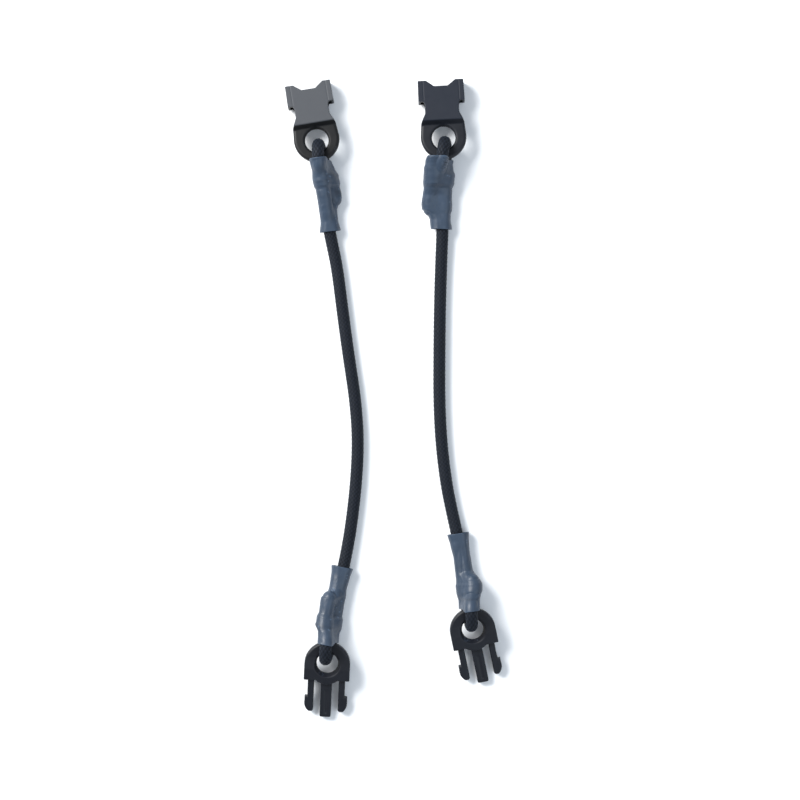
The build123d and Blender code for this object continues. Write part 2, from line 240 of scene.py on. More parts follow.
class SharedNodes:
    """Node groups that more than one finish uses, each built once."""

    def __init__(self) -> None:
        """Starts with no group built."""
        self.built: dict[str, bpy.types.NodeTree] = {}

    def start(self, name: str, inputs: dict[str, tuple[str, object]], outputs: dict[str, str]):
        """Starts a group with named sockets.

        Args:
            name: the group's name.
            inputs: socket name to its type and default.
            outputs: socket name to its type.

        Returns:
            The tree, its input node and its output node.
        """
        tree = bpy.data.node_groups.new(name, "ShaderNodeTree")
        for label, (kind, default) in inputs.items():
            socket = tree.interface.new_socket(label, in_out="INPUT", socket_type=kind)
            socket.default_value = default
        for label, kind in outputs.items():
            tree.interface.new_socket(label, in_out="OUTPUT", socket_type=kind)
        self.built[name] = tree
        return tree, tree.nodes.new("NodeGroupInput"), tree.nodes.new("NodeGroupOutput")

    def grain(self) -> bpy.types.NodeTree:
        """Moulded grain: a fine pebble over a slow unevenness, as a height."""
        if "moulded_grain" in self.built:
            return self.built["moulded_grain"]
        tree, given, result = self.start(
            "moulded_grain",
            {"Pebbles": ("NodeSocketFloat", 4000.0), "Unevenness": ("NodeSocketFloat", 350.0),
             "Pebble Share": ("NodeSocketFloat", 0.5)},
            {"Height": "NodeSocketFloat", "Mottle": "NodeSocketFloat"})
        place = tree.nodes.new("ShaderNodeTexCoord")
        fine = tree.nodes.new("ShaderNodeTexNoise")
        fine.inputs["Detail"].default_value = 2.0
        slow = tree.nodes.new("ShaderNodeTexNoise")
        slow.inputs["Detail"].default_value = 3.0
        blend = tree.nodes.new("ShaderNodeMix")
        tree.links.new(place.outputs["Object"], fine.inputs["Vector"])
        tree.links.new(place.outputs["Object"], slow.inputs["Vector"])
        tree.links.new(given.outputs["Pebbles"], fine.inputs["Scale"])
        tree.links.new(given.outputs["Unevenness"], slow.inputs["Scale"])
        tree.links.new(given.outputs["Pebble Share"], blend.inputs["Factor"])
        tree.links.new(slow.outputs["Fac"], blend.inputs["A"])
        tree.links.new(fine.outputs["Fac"], blend.inputs["B"])
        tree.links.new(blend.outputs["Result"], result.inputs["Height"])
        tree.links.new(slow.outputs["Fac"], result.inputs["Mottle"])
        return tree

    def edge_wear_and_highlight(self) -> bpy.types.NodeTree:
        """A mask on raised edges from how sharply the surface turns, broken up by noise: worn edges on the
        mouldings, a painted highlight on the film.
        """
        if "edge_wear_and_highlight" in self.built:
            return self.built["edge_wear_and_highlight"]
        tree, given, result = self.start(
            "edge_wear_and_highlight",
            {"Start": ("NodeSocketFloat", 0.52), "Full": ("NodeSocketFloat", 0.62),
             "Break-up": ("NodeSocketFloat", 900.0)},
            {"Mask": "NodeSocketFloat"})
        turn = tree.nodes.new("ShaderNodeNewGeometry")
        place = tree.nodes.new("ShaderNodeTexCoord")
        speckle = tree.nodes.new("ShaderNodeTexNoise")
        speckle.inputs["Detail"].default_value = 4.0
        span = tree.nodes.new("ShaderNodeMapRange")
        product = tree.nodes.new("ShaderNodeMath")
        product.operation = "MULTIPLY"
        tree.links.new(place.outputs["Object"], speckle.inputs["Vector"])
        tree.links.new(given.outputs["Break-up"], speckle.inputs["Scale"])
        tree.links.new(turn.outputs["Pointiness"], span.inputs["Value"])
        tree.links.new(given.outputs["Start"], span.inputs["From Min"])
        tree.links.new(given.outputs["Full"], span.inputs["From Max"])
        tree.links.new(span.outputs["Result"], product.inputs[0])
        tree.links.new(speckle.outputs["Fac"], product.inputs[1])
        tree.links.new(product.outputs["Value"], result.inputs["Mask"])
        return tree

    def stored(self) -> bpy.types.NodeTree:
        """A stored surface value, softened into a mask between two limits."""
        if "stored_mask" in self.built:
            return self.built["stored_mask"]
        tree, given, result = self.start(
            "stored_mask",
            {"Value": ("NodeSocketFloat", 0.0), "From": ("NodeSocketFloat", 0.0),
             "To": ("NodeSocketFloat", 1.0)},
            {"Mask": "NodeSocketFloat"})
        span = tree.nodes.new("ShaderNodeMapRange")
        span.interpolation_type = "SMOOTHSTEP"
        tree.links.new(given.outputs["Value"], span.inputs["Value"])
        tree.links.new(given.outputs["From"], span.inputs["From Min"])
        tree.links.new(given.outputs["To"], span.inputs["From Max"])
        tree.links.new(span.outputs["Result"], result.inputs["Mask"])
        return tree


SHARED = SharedNodes()


class Shader:
    """A material being built, with its Principled shader in place."""

    def __init__(self, name: str, roughness: float, specular: float = 0.5) -> None:
        """Starts a material.

        Args:
            name: the material's name.
            roughness: the shader's own roughness.
            specular: the shader's own specular level.
        """
        self.material = bpy.data.materials.new(name)
        self.material.use_nodes = True
        self.tree = self.material.node_tree
        self.surface = self.tree.nodes["Principled BSDF"]
        self.surface.inputs["Roughness"].default_value = roughness
        self.surface.inputs["Specular IOR Level"].default_value = specular

    def group(self, tree: bpy.types.NodeTree, **values: float) -> bpy.types.Node:
        """Places a shared group with its own values, where underscores in a name stand for spaces."""
        node = self.tree.nodes.new("ShaderNodeGroup")
        node.node_tree = tree
        for label, value in values.items():
            node.inputs[label.replace("_", " ")].default_value = value
        return node

    def attribute(self, name: str) -> bpy.types.NodeSocket:
        """A stored surface value."""
        node = self.tree.nodes.new("ShaderNodeAttribute")
        node.attribute_name = name
        return node.outputs["Fac"]

    def mixed(self, mask: bpy.types.NodeSocket, first: object, second: object) -> bpy.types.NodeSocket:
        """A colour between two by a mask.

        Args:
            mask: the mask's socket.
            first: a colour, or a socket, where the mask is 0.
            second: a colour, or a socket, where the mask is 1.

        Returns:
            The mixed colour's socket.
        """
        node = self.tree.nodes.new("ShaderNodeMix")
        node.data_type = "RGBA"
        self.tree.links.new(mask, node.inputs["Factor"])
        for label, value in (("A", first), ("B", second)):
            socket = next(s for s in node.inputs if s.name == label and s.type == "RGBA")
            if isinstance(value, bpy.types.NodeSocket):
                self.tree.links.new(value, socket)
            else:
                socket.default_value = (*value, 1.0)
        return next(s for s in node.outputs if s.type == "RGBA")

    def ranged(self, value: bpy.types.NodeSocket, low: float, high: float) -> bpy.types.NodeSocket:
        """A value of 0 to 1 spread between two others."""
        node = self.tree.nodes.new("ShaderNodeMapRange")
        node.inputs["To Min"].default_value = low
        node.inputs["To Max"].default_value = high
        self.tree.links.new(value, node.inputs["Value"])
        return node.outputs["Result"]

    def summed(self, first: bpy.types.NodeSocket, second: bpy.types.NodeSocket,
               share: float) -> bpy.types.NodeSocket:
        """The first value plus a share of the second."""
        node = self.tree.nodes.new("ShaderNodeMath")
        node.operation = "MULTIPLY_ADD"
        self.tree.links.new(second, node.inputs[0])
        node.inputs[1].default_value = share
        self.tree.links.new(first, node.inputs[2])
        return node.outputs["Value"]

    def bump(self, height: bpy.types.NodeSocket, distance: float, strength: float) -> None:
        """Raises the surface by a height field."""
        node = self.tree.nodes.new("ShaderNodeBump")
        node.inputs["Distance"].default_value = distance
        node.inputs["Strength"].default_value = strength
        self.tree.links.new(height, node.inputs["Height"])
        self.tree.links.new(node.outputs["Normal"], self.surface.inputs["Normal"])

    def feed(self, label: str, value: bpy.types.NodeSocket) -> None:
        """Links a value to the shader."""
        self.tree.links.new(value, self.surface.inputs[label])


# ---------------------------------------------------------------- finishes


@dataclass(frozen=True)
class MouldedPlastic:
    """Satin injection-moulded acetal with a fine grain, paler on its rubbed edges, with a painted reflection
    on its broad flat faces.
    """

    name: str
    body: tuple[float, float, float]
    # Colour of the broad flat faces: a painted reflection.
    painted_reflection: tuple[float, float, float]
    edge: tuple[float, float, float]
    roughness: float = 0.46
    grain_depth: float = 0.00003

    def make(self) -> bpy.types.Material:
        """Builds the material."""
        shader = Shader(self.name, self.roughness, 0.26)
        grain = shader.group(SHARED.grain(), Pebbles=5200.0, Unevenness=420.0, Pebble_Share=0.42)
        edge_mask = shader.group(SHARED.edge_wear_and_highlight(), Start=0.515, Full=0.60)
        flats = shader.group(SHARED.stored(), From=0.15, To=0.85)
        shader.tree.links.new(shader.attribute("flat_face"), flats.inputs["Value"])
        darker = tuple(0.72 * channel for channel in self.body)
        body = shader.mixed(grain.outputs["Mottle"], darker, self.body)
        # The broad flat faces are painted paler here: a painted reflection.
        face = shader.mixed(flats.outputs["Mask"], body, self.painted_reflection)
        shader.feed("Base Color", shader.mixed(edge_mask.outputs["Mask"], face, self.edge))
        shader.feed("Roughness",
                    shader.ranged(grain.outputs["Mottle"], self.roughness - 0.10, self.roughness + 0.12))
        shader.bump(grain.outputs["Height"], self.grain_depth, 0.55)
        return shader.material


@dataclass(frozen=True)
class BraidedPolyester:
    """Filament polyester braid: each yarn catches the light along its crown and is dark beside it."""

    name: str = "braided_polyester"
    crown: tuple[float, float, float] = (0.008, 0.012, 0.021)
    groove: tuple[float, float, float] = (0.002, 0.003, 0.005)
    fibre_depth: float = 0.00004

    def make(self) -> bpy.types.Material:
        """Builds the material."""
        shader = Shader(self.name, 0.62, 0.16)
        relief = shader.group(SHARED.stored(), From=0.05, To=0.9)
        shader.tree.links.new(shader.attribute("yarn_crown"), relief.inputs["Value"])
        grain = shader.group(SHARED.grain(), Pebbles=9000.0, Unevenness=1600.0, Pebble_Share=0.6)
        shaded = tuple(0.6 * channel for channel in self.crown)
        crown = shader.mixed(grain.outputs["Mottle"], shaded, self.crown)
        shader.feed("Base Color", shader.mixed(relief.outputs["Mask"], self.groove, crown))
        fibres = shader.tree.nodes.new("ShaderNodeTexWave")
        fibres.wave_type = "BANDS"
        fibres.bands_direction = "X"
        fibres.inputs["Scale"].default_value = 1.6
        fibres.inputs["Distortion"].default_value = 1.2
        combined = shader.tree.nodes.new("ShaderNodeCombineXYZ")
        shader.tree.links.new(shader.attribute("yarn_across"), combined.inputs["X"])
        shader.tree.links.new(combined.outputs["Vector"], fibres.inputs["Vector"])
        height = shader.summed(fibres.outputs["Fac"], grain.outputs["Height"], 0.8)
        shader.feed("Roughness", shader.ranged(relief.outputs["Mask"], 0.85, 0.50))
        shader.bump(height, self.fibre_depth, 0.6)
        shader.surface.inputs["Sheen Weight"].default_value = 0.06
        shader.surface.inputs["Sheen Roughness"].default_value = 0.4
        shader.surface.inputs["Sheen Tint"].default_value = (0.55, 0.68, 0.9, 1.0)
        return shader.material


@dataclass(frozen=True)
class ShrunkFilm:
    """Satin blue-grey polyolefin film, shrunk tight, with a soft orange peel, drawn lines along it and a
    painted highlight on its sharp ridges.
    """

    name: str = "shrunk_film"
    film: tuple[float, float, float] = (0.030, 0.050, 0.084)
    thin: tuple[float, float, float] = (0.012, 0.019, 0.031)
    # Paler blue for the sharp ridges: a painted highlight.
    ridge_highlight: tuple[float, float, float] = (0.085, 0.135, 0.215)

    def make(self) -> bpy.types.Material:
        """Builds the material."""
        shader = Shader(self.name, 0.42, 0.4)
        grain = shader.group(SHARED.grain(), Pebbles=2600.0, Unevenness=260.0, Pebble_Share=0.35)
        stretched = shader.group(SHARED.stored(), From=0.0, To=1.0)
        shader.tree.links.new(shader.attribute("film_stretch"), stretched.inputs["Value"])
        edge_mask = shader.group(SHARED.edge_wear_and_highlight(), Start=0.52, Full=0.66)
        film = shader.mixed(grain.outputs["Mottle"], tuple(0.55 * channel for channel in self.film), self.film)
        drawn = shader.mixed(stretched.outputs["Mask"], film, self.thin)
        # Sharp ridges are painted paler here: a painted highlight.
        shader.feed("Base Color", shader.mixed(edge_mask.outputs["Mask"], drawn, self.ridge_highlight))
        shader.feed("Roughness", shader.ranged(grain.outputs["Mottle"], 0.34, 0.52))
        lines = shader.tree.nodes.new("ShaderNodeTexNoise")
        lines.inputs["Scale"].default_value = 3.0
        lines.inputs["Detail"].default_value = 5.0
        place = shader.tree.nodes.new("ShaderNodeCombineXYZ")
        shader.tree.links.new(shader.attribute("film_round"), place.inputs["X"])
        shader.tree.links.new(shader.attribute("film_along"), place.inputs["Y"])
        shader.tree.links.new(place.outputs["Vector"], lines.inputs["Vector"])
        height = shader.summed(lines.outputs["Fac"], grain.outputs["Height"], 0.35)
        shader.bump(height, 0.00012, 0.6)
        return shader.material


@dataclass(frozen=True)
class LatexRubber:
    """Bare natural rubber strands, dusted with talc."""

    name: str = "latex_rubber"
    rubber: tuple[float, float, float] = (0.62, 0.53, 0.38)
    talc: tuple[float, float, float] = (0.80, 0.76, 0.68)

    def make(self) -> bpy.types.Material:
        """Builds the material."""
        shader = Shader(self.name, 0.62, 0.4)
        grain = shader.group(SHARED.grain(), Pebbles=3000.0, Unevenness=700.0, Pebble_Share=0.5)
        shader.feed("Base Color", shader.mixed(grain.outputs["Mottle"], self.rubber, self.talc))
        shader.bump(grain.outputs["Height"], 0.00004, 0.5)
        return shader.material


@dataclass(frozen=True)
class WaxedTwine:
    """Waxed polyester twine, laid from twisted plies."""

    name: str = "waxed_twine"
    ply: tuple[float, float, float] = (0.33, 0.30, 0.25)
    wax: tuple[float, float, float] = (0.55, 0.50, 0.42)

    def make(self) -> bpy.types.Material:
        """Builds the material."""
        shader = Shader(self.name, 0.5, 0.45)
        grain = shader.group(SHARED.grain(), Pebbles=6000.0, Unevenness=1500.0, Pebble_Share=0.5)
        shader.feed("Base Color", shader.mixed(grain.outputs["Mottle"], self.ply, self.wax))
        shader.bump(grain.outputs["Height"], 0.00006, 0.8)
        return shader.material


# ---------------------------------------------------------------- where things are


@dataclass(frozen=True)
class EndFrame:
    """One end of a tether: the middle of the eye's rim, and the sleeve's heading away from it."""

    rim: tuple[float, float]
    heading: tuple[float, float]
    tail_side: int

    def place(self, away: float, aside: float, up: float) -> Vector:
        """A point from its distance along the sleeve, towards the tail's side, and up."""
        along = Vector((*self.heading, 0.0)).normalized()
        across = Vector((-along.y, along.x, 0.0)) * self.tail_side
        return Vector((*self.rim, 0.0)) + along * away + across * aside + Vector((0.0, 0.0, up))


ENDS = {
    (Side.LEFT, Half.UPPER): EndFrame((-0.0247, 0.0804), (0.128, -0.992), 1),
    (Side.LEFT, Half.LOWER): EndFrame((-0.0219, -0.0821), (0.190, 0.982), 1),
    (Side.RIGHT, Half.UPPER): EndFrame((0.0168, 0.0812), (-0.027, -1.0), -1),
    (Side.RIGHT, Half.LOWER): EndFrame((0.0250, -0.0710), (-0.148, 0.989), -1),
}
LOOPS = {
    (Side.LEFT, Half.UPPER): TAIL_UNDER,
    (Side.LEFT, Half.LOWER): STACKED_OVER,
    (Side.RIGHT, Half.UPPER): WIDE_OVER,
    (Side.RIGHT, Half.LOWER): SHORT_OVER,
}
RUNS = {Side.LEFT: LEFT_RUN, Side.RIGHT: RIGHT_RUN}
UPPER_BODY = {Side.LEFT: "root", Side.RIGHT: "right_upper_end"}


@dataclass
class BuckleFrame:
    """A buckle half's own axes, read from the frame: across, towards the mouth or tongue, and up."""

    middle: Vector
    across: Vector
    ahead: Vector
    up: Vector

    @classmethod
    def read(cls, frame: dict, joint: str, mount: str, mount_y: float) -> "BuckleFrame":
        """Reads the axes from a swing joint and a mount.

        Args:
            joint: the swing joint's name.
            mount: the mount's name.
            mount_y: the mount's distance from the eye's middle.

        Returns:
            The buckle half's axes, with its middle at the eye.
        """
        swing = next(j for j in frame["joints"] if j["name"] == joint)
        seat = next(m for m in frame["record"]["mounts"] if m["name"] == mount)
        across = Vector(swing["axis"]).normalized()
        ahead = Vector(seat["axis"]).normalized()
        return cls(Vector(seat["pos_m"]) - ahead * mount_y, across, ahead, across.cross(ahead))

    def local(self, points: np.ndarray) -> np.ndarray:
        """World points in the half's own axes."""
        axes = np.array([self.across, self.ahead, self.up])
        return (points - np.array(self.middle)) @ axes.T

    def world(self, points: np.ndarray) -> np.ndarray:
        """The half's own points in the world."""
        axes = np.array([self.across, self.ahead, self.up])
        return points @ axes + np.array(self.middle)


# ---------------------------------------------------------------- the cord


# How far from the middle of the eye's rim each cord's sleeves end.
SLEEVE_MOUTHS = {Half.UPPER: 0.0250, Half.LOWER: 0.0272}
CORE_HEIGHT = 0.0023


@dataclass
class BraidedCord:
    """An elastic cord: a braided cover over a bundle of rubber strands, in one piece through both eyes."""

    side: Side
    radius: float = CORD_DIAMETER / 2
    yarns_each_way: int = 10
    lay_length: float = 0.0145
    yarn_relief: float = 0.00013
    around: int = 80
    ring_spacing: float = 0.00023
    strand_radius: float = 0.00049
    line: np.ndarray = field(default_factory=lambda: np.zeros((0, 3)))

    def route(self) -> list[Vector]:
        """The route's points from one cut tail to the other."""
        upper, lower = ENDS[self.side, Half.UPPER], ENDS[self.side, Half.LOWER]
        start = [upper.place(*point) for point in LOOPS[self.side, Half.UPPER]]
        middle = [Vector((x, y, LIES_AT)) for x, y in RUNS[self.side]]
        finish = [lower.place(*point) for point in LOOPS[self.side, Half.LOWER]]
        return start + middle + finish[::-1]

    def read_line(self) -> None:
        """Reads the smooth line of the route from a spline with no bevel."""
        curve = bpy.data.curves.new(f"{self.side.value}_route", "CURVE")
        curve.dimensions = "3D"
        curve.resolution_u = 24
        spline = curve.splines.new("NURBS")
        points = self.route()
        spline.points.add(len(points) - 1)
        for place, point in zip(spline.points, points):
            place.co = (*point, 1.0)
        spline.order_u = 3
        spline.use_endpoint_u = True
        holder = bpy.data.objects.new(f"{self.side.value}_route", curve)
        mesh = bpy.data.meshes.new_from_object(holder)
        raw = np.array([tuple(vertex.co) for vertex in mesh.vertices])
        bpy.data.meshes.remove(mesh)
        bpy.data.objects.remove(holder)
        bpy.data.curves.remove(curve)
        self.line = evenly_along(raw, self.ring_spacing)

    def length(self) -> float:
        """The cord's length along its line."""
        return float(np.linalg.norm(np.diff(self.line, axis=0), axis=1).sum())

    def braid(self, turn: np.ndarray, away: np.ndarray) -> tuple[np.ndarray, np.ndarray]:
        """The relief of a diamond braid.

        Args:
            turn: how far round the cord, in whole turns.
            away: how far along it.

        Returns:
            The crown of the yarn on top, 0 to 1, and how far across that yarn the point is.
        """
        right = self.yarns_each_way * (turn + away / self.lay_length)
        left = self.yarns_each_way * (turn - away / self.lay_length)
        right_on_top = (np.floor(right) + np.floor(left)) % 2 == 0
        a, b = right % 1.0, left % 1.0
        across = np.where(right_on_top, b, a)
        lengthways = np.where(right_on_top, a, b)
        crown = np.sin(np.pi * across) ** 0.7 * (0.35 + 0.65 * np.sin(np.pi * lengthways) ** 0.8)
        return crown, across

    def cover(self) -> bpy.types.Object:
        """Builds the braided cover with a melted end at each cut tail."""
        _, across, upward = transported_frames(self.line)
        turns = np.arange(self.around) / self.around
        away = np.arange(len(self.line)) * self.ring_spacing
        turn_grid, away_grid = np.meshgrid(turns, away)
        crown, yarn_across = self.braid(turn_grid, away_grid)
        radii = self.radius - 0.55 * self.yarn_relief + self.yarn_relief * crown
        melt = 6
        for step in range(melt):
            shrink = math.sqrt(1.0 - ((melt - step) / (melt + 1)) ** 2)
            radii[step] = self.radius * shrink
            radii[-1 - step] = self.radius * shrink
        angle = 2.0 * np.pi * turn_grid
        rings = (self.line[:, None, :] + radii[..., None] * (np.cos(angle)[..., None] * across[:, None, :]
                                                           + np.sin(angle)[..., None] * upward[:, None, :]))
        points = np.concatenate([rings.reshape(-1, 3), self.line[:1], self.line[-1:]])
        faces = ring_faces(len(self.line), self.around)
        tip, tail = len(points) - 2, len(points) - 1
        last = (len(self.line) - 1) * self.around
        for step in range(self.around):
            after = (step + 1) % self.around
            faces.append((tip, after, step))
            faces.append((tail, last + step, last + after))
        mesh = mesh_from(f"{self.side.value}_cord_braid", points, faces)
        write_values(mesh, "yarn_crown", np.concatenate([crown.ravel(), [0.0, 0.0]]))
        write_values(mesh, "yarn_across", np.concatenate([yarn_across.ravel(), [0.5, 0.5]]))
        return smooth_object(f"{self.side.value}_cord_braid", mesh)

    def strands(self) -> bpy.types.Object:
        """Builds the rubber strands inside the cover: one in the middle and six round it."""
        inset = 4
        line = evenly_along(self.line[inset:-inset], 3 * self.ring_spacing)
        _, across, upward = transported_frames(line)
        around = 10
        angle = 2.0 * np.pi * np.arange(around) / around
        points, faces = [], []
        for strand in range(7):
            lean = 2.0 * np.pi * strand / 6
            offset = 0.0 if strand == 6 else 2.04 * self.strand_radius
            middle = line + offset * (math.cos(lean) * across + math.sin(lean) * upward)
            rings = middle[:, None, :] + self.strand_radius * (
                np.cos(angle)[None, :, None] * across[:, None, :]
                + np.sin(angle)[None, :, None] * upward[:, None, :])
            first = len(points) * len(line) * around
            faces += ring_faces(len(line), around, first)
            faces.append(tuple(first + step for step in reversed(range(around))))
            faces.append(tuple(first + (len(line) - 1) * around + step for step in range(around)))
            points.append(rings.reshape(-1, 3))
        mesh = mesh_from(f"{self.side.value}_cord_strands", np.concatenate(points), faces)
        return smooth_object(f"{self.side.value}_cord_strands", mesh)

    def build(self, cover: bpy.types.Material, rubber: bpy.types.Material) -> None:
        """Builds the cord in place of the frame's own cord pieces.

        Args:
            cover: the braid's material.
            rubber: the strands' material.
        """
        side = self.side.value
        self.read_line()
        braid, strands = self.cover(), self.strands()
        braid.data.materials.append(cover)
        strands.data.materials.append(rubber)
        mouths = [ENDS[self.side, half].place(away, 0.0, CORE_HEIGHT) for half, away in SLEEVE_MOUTHS.items()]
        for piece, node, slot in ((braid, "cord_sheath", "braided_sheath"),
                                  (strands, "cord_core", "elastic_core")):
            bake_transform(piece)
            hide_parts(f"{side}_{node}")
        log.info("%s cord: %.1f mm", side, self.length() / MM)


# ---------------------------------------------------------------- the shrunk sleeves


# How a sleeve goes from one section to the next: partly straight, partly eased.
STRAIGHT_SHARE = 0.55
EASED_SHARE = 0.45


@dataclass(frozen=True)
class Section:
    """A section of a sleeve: where the two legs of the cord are, how far out the film is, and its sag."""

    away: float
    upper: tuple[float, float]
    lower: tuple[float, float]
    reach: float
    sag: float = 0.0

    def towards(self, other: Section, share: float, away: float) -> Section:
        """A section between this one and another.

        Args:
            other: the section further along.
            share: how far towards it, 0 to 1.
            away: the new section's distance along.

        Returns:
            The section between them.
        """
        def between(near: float, far: float) -> float:
            """The value at the share between two."""
            return near + share * (far - near)

        return Section(away, (between(self.upper[0], other.upper[0]), between(self.upper[1], other.upper[1])),
                       (between(self.lower[0], other.lower[0]), between(self.lower[1], other.lower[1])),
                       between(self.reach, other.reach), between(self.sag, other.sag))


@dataclass(frozen=True)
class Swelling:
    """A local bump or dent in a sleeve: where it is, which way it faces, and how large it is."""

    away: float
    facing: float
    height: float
    long: float
    wide: float


@dataclass
class ShrunkSleeve:
    """A heat-shrunk sleeve: a film that is tight over both legs of the cord and loose at its mouth."""

    side: Side
    half: Half
    sections: list[Section]
    swellings: list[Swelling]
    cord_line: np.ndarray
    wall: float = 0.0003
    slack: float = 0.00008
    lip_lean: float = 0.0011
    lean_from: float = 0.0082
    lean_over: float = 0.0028
    around: int = 112
    step: float = 0.0002
    wrinkle: float = 0.00009
    wrinkles_round: float = 1.6
    wrinkle_length: float = 0.004
    lean_fades_over: float = 0.0035
    full_stretch: float = 0.0006

    def section_at(self, away: float) -> Section:
        """The sleeve's section at a distance, eased between its neighbours."""
        for near, far in zip(self.sections, self.sections[1:]):
            if away <= far.away:
                share = min(1.0, max(0.0, (away - near.away) / (far.away - near.away)))
                share = STRAIGHT_SHARE * share + EASED_SHARE * share * share * (3.0 - 2.0 * share)
                return near.towards(far, share, away)
        return self.sections[-1]

    def outline(self, section: Section) -> tuple[np.ndarray, np.ndarray]:
        """The film's outline at a section.

        Args:
            section: the section.

        Returns:
            The outline's points, aside and up, and its outward directions.
        """
        upper, lower = np.array(section.upper), np.array(section.lower)
        lift = upper - lower
        apart = max(np.linalg.norm(lift), 1e-6)
        pole = math.atan2(lift[1], lift[0])
        angle = pole + 2.0 * np.pi * np.arange(720) / 720
        out = np.stack([np.cos(angle), np.sin(angle)], axis=1)
        centre = np.where(((out @ lift) >= 0.0)[:, None], upper, lower)
        edge = centre + section.reach * out
        looped = np.vstack([edge, edge[:1]])
        steps = np.linalg.norm(np.diff(looped, axis=0), axis=1)
        travelled = np.concatenate([[0.0], np.cumsum(steps)])
        wanted = travelled[-1] * np.arange(self.around) / self.around
        points = np.stack([np.interp(wanted, travelled, looped[:, axis]) for axis in range(2)], axis=1)
        middle = (upper + lower) / 2.0
        unit = lift / apart
        normal = np.array([-unit[1], unit[0]])
        along = (points - middle) @ unit / (apart / 2.0 + section.reach)
        beside = (points - middle) @ normal
        hollow = section.sag * np.clip(1.0 - (along * 1.35) ** 2, 0.0, 1.0) ** 2
        points = points - normal * (np.sign(beside) * hollow)[:, None]
        outward = points - middle
        outward /= np.linalg.norm(outward, axis=1)[:, None]
        return points, outward

    def kept_clear(self, rings: np.ndarray, reach: float) -> np.ndarray:
        """Stretches the film over the cord wherever it would cut into it.

        Args:
            rings: rings of film points.
            reach: how near to the cord's line the film may come.

        Returns:
            The rings, moved out where they had to be.
        """
        for ring in rings:
            gaps = ring[:, None, :] - self.cord_line[None, :, :]
            distances = np.linalg.norm(gaps, axis=2)
            nearest = distances.argmin(axis=1)
            points = np.arange(len(ring))
            gap = distances[points, nearest]
            short = np.clip(reach - gap, 0.0, None)
            ring += gaps[points, nearest] * (short / gap)[:, None]
        return rings

    def surface(self) -> tuple[np.ndarray, np.ndarray, np.ndarray, np.ndarray]:
        """The film's outer and inner faces.

        Returns:
            Rings of outer points, rings of inner points, each point's distance along and its stretch.
        """
        end = ENDS[self.side, self.half]
        first, last = self.sections[0].away, self.sections[-1].away
        stations = np.linspace(first, last, round((last - first) / self.step) + 1)
        outer, inner, along, stretch = [], [], [], []
        seed = 7.0 * list(ENDS).index((self.side, self.half))
        for away in stations:
            section = self.section_at(float(away))
            points, outward = self.outline(section)
            facing = np.degrees(np.arctan2(outward[:, 1], outward[:, 0]))
            rise = np.zeros(len(points))
            for bump in self.swellings:
                off = (facing - bump.facing + 180.0) % 360.0 - 180.0
                rise += bump.height * np.exp(-((away - bump.away) / bump.long) ** 2 - (off / bump.wide) ** 2)
            for index, (point, turn) in enumerate(zip(points, facing)):
                place = Vector((math.cos(math.radians(turn)) * self.wrinkles_round + seed,
                                math.sin(math.radians(turn)) * self.wrinkles_round,
                                float(away) / self.wrinkle_length))
                rise[index] += self.wrinkle * noise.fractal(place, 1.0, 2.0, 4)
            skin = points + outward * rise[:, None]
            lining = skin - outward * self.wall
            lean = self.lip_lean * math.exp(-((away - first) / self.lean_fades_over) ** 2)
            tall = np.clip((skin[:, 1] - self.lean_from) / self.lean_over, 0.0, 1.0)
            for target, source in ((outer, skin), (inner, lining)):
                target.append([tuple(end.place(away - lean * t, p[0], max(p[1], TABLE_GAP)))
                               for p, t in zip(source, tall)])
            along.append(np.full(len(points), away))
            stretch.append(np.clip(rise / self.full_stretch, 0.0, 1.0))
        near = CORD_DIAMETER / 2 + self.slack
        skin = self.kept_clear(np.array(outer), near + self.wall)
        lining = self.kept_clear(np.array(inner), near)
        for rings in (skin, lining):
            rings[..., 2] = np.clip(rings[..., 2], TABLE_GAP, None)
        return skin, lining, np.array(along), np.array(stretch)

    def build(self, film: bpy.types.Material) -> bpy.types.Object:
        """Builds the sleeve and joins it to the frame.

        Args:
            film: its material.

        Returns:
            The sleeve.
        """
        name = f"{self.side.value}_{self.half.value}_film"
        outer, inner, along, stretch = self.surface()
        rings = len(outer)
        points = np.concatenate([outer.reshape(-1, 3), inner.reshape(-1, 3)])
        faces = ring_faces(rings, self.around)
        inside = rings * self.around
        faces += [tuple(reversed(face)) for face in ring_faces(rings, self.around, inside)]
        for ring in (0, rings - 1):
            for step in range(self.around):
                a = ring * self.around + step
                b = ring * self.around + (step + 1) % self.around
                face = (a, inside + a, inside + b, b)
                faces.append(face if ring == 0 else tuple(reversed(face)))
        if ENDS[self.side, self.half].tail_side < 0:
            faces = [tuple(reversed(face)) for face in faces]
        mesh = mesh_from(name, points, faces)
        turns = np.tile(np.arange(self.around) / self.around * 12.0, rings)
        write_values(mesh, "film_round", np.concatenate([turns, turns]))
        write_values(mesh, "film_along", np.tile(along.ravel() / 0.009, 2))
        write_values(mesh, "film_stretch", np.tile(stretch.ravel(), 2))
        piece = smooth_object(name, mesh)
        piece.data.materials.append(film)
        body = UPPER_BODY[self.side] if self.half is Half.UPPER else f"{self.side.value}_lower_end"
        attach(piece, body)
        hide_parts(f"{self.side.value}_{self.half.value}_sleeve")
        log.info("%s: %d points", name, len(points))
        return piece


# ---------------------------------------------------------------- the buckle halves


